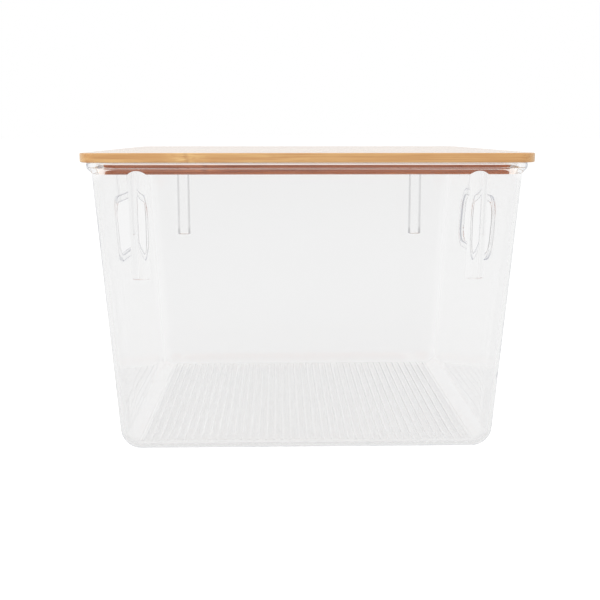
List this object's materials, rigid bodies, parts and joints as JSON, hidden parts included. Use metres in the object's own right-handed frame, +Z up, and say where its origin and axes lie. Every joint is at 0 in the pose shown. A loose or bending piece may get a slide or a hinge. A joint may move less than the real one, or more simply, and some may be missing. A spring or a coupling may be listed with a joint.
{
  "type": "lidded storage bin",
  "caption": "Clear tapered storage tub with round corners, end finger slots, nesting ribs, a ribbed floor and a flat lift-off wooden lid that overhangs the rim.",
  "frame": {"origin": "centre of the tub's footprint, on the plane it stands on", "axes": "+X to the right along the longer side (the end walls with the finger slots face +X and -X), +Y to the back, +Z up"},
  "size_m": [0.3, 0.28, 0.2105],
  "materials": {
    "clear_plastic": "clear, smooth and glossy; moulded",
    "bamboo": "laminated bamboo strips, sanded, thin satin oil",
    "bamboo_plug": "laminated bamboo strips, sanded, slightly darker",
    "translucent_silicone": "soft translucent silicone, matt"
  },
  "bodies": {
    "tub_body": {"tub": "clear_plastic"},
    "lid": {"lid_strip_01": "bamboo", "lid_strip_02": "bamboo", "lid_strip_03": "bamboo", "lid_strip_04": "bamboo", "lid_strip_05": "bamboo", "lid_strip_06": "bamboo", "lid_strip_07": "bamboo", "lid_strip_08": "bamboo", "lid_strip_09": "bamboo", "lid_strip_10": "bamboo", "lid_strip_11": "bamboo", "lid_strip_12": "bamboo", "lid_strip_13": "bamboo", "lid_strip_14": "bamboo", "plug_strip_01": "bamboo_plug", "plug_strip_02": "bamboo_plug", "plug_strip_03": "bamboo_plug", "plug_strip_04": "bamboo_plug", "plug_strip_05": "bamboo_plug", "plug_strip_06": "bamboo_plug", "plug_strip_07": "bamboo_plug", "plug_strip_08": "bamboo_plug", "plug_strip_09": "bamboo_plug", "plug_strip_10": "bamboo_plug", "plug_strip_11": "bamboo_plug", "plug_strip_12": "bamboo_plug", "plug_strip_13": "bamboo_plug", "lid_seal": "translucent_silicone"}
  },
  "joints": [
    {"name": "lid_lift", "type": "slide", "parent": "tub_body", "child": "lid", "axis": [0, 0, 1], "range_m": [0, 0.08]}
  ]
}
